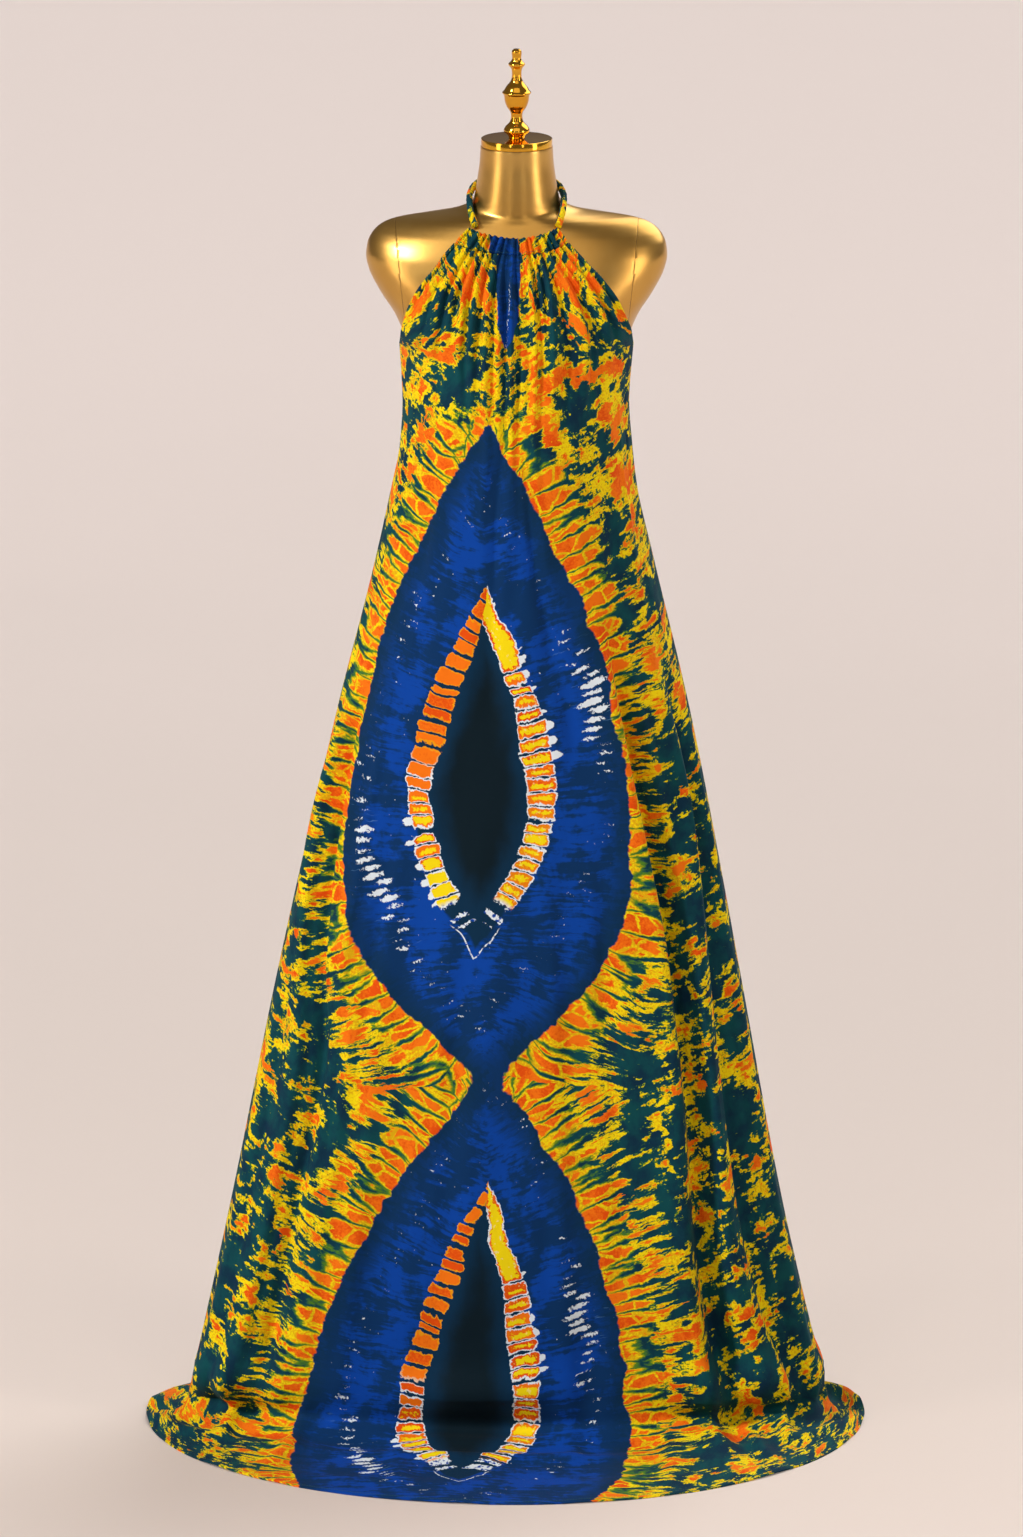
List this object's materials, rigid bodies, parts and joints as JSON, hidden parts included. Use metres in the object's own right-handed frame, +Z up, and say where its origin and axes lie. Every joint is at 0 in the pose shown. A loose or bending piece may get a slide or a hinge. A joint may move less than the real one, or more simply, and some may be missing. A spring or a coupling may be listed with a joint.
{
  "type": "halter maxi dress on dress form",
  "caption": "Floor-length halter dress of resist-dyed cloth, gathered onto a neck strap, on a limbless dress form with a turned finial and a round stand.",
  "frame": {"origin": "centre of the stand's round base, on the floor", "axes": "+Z up along the stand's pole, -Y towards the front of the dress, +X to the right as seen from the front"},
  "size_m": [0.943, 0.6163, 1.8193],
  "materials": {
    "dyed_cotton": "soft woven cotton, resist dyed in petrol green, royal blue, yellow, orange and white",
    "satin_gold": "satin metallic gold lacquer",
    "polished_brass": "polished"
  },
  "bodies": {
    "root": {"dress_front": "dyed_cotton", "dress_back": "dyed_cotton", "neck_casing": "dyed_cotton", "halter_strap": "dyed_cotton", "form_torso": "satin_gold", "form_shoulder_cap_left": "satin_gold", "form_shoulder_cap_right": "satin_gold", "neck_cap": "polished_brass", "finial": "polished_brass", "stand_pole": "satin_gold", "stand_base": "satin_gold"}
  },
  "joints": []
}
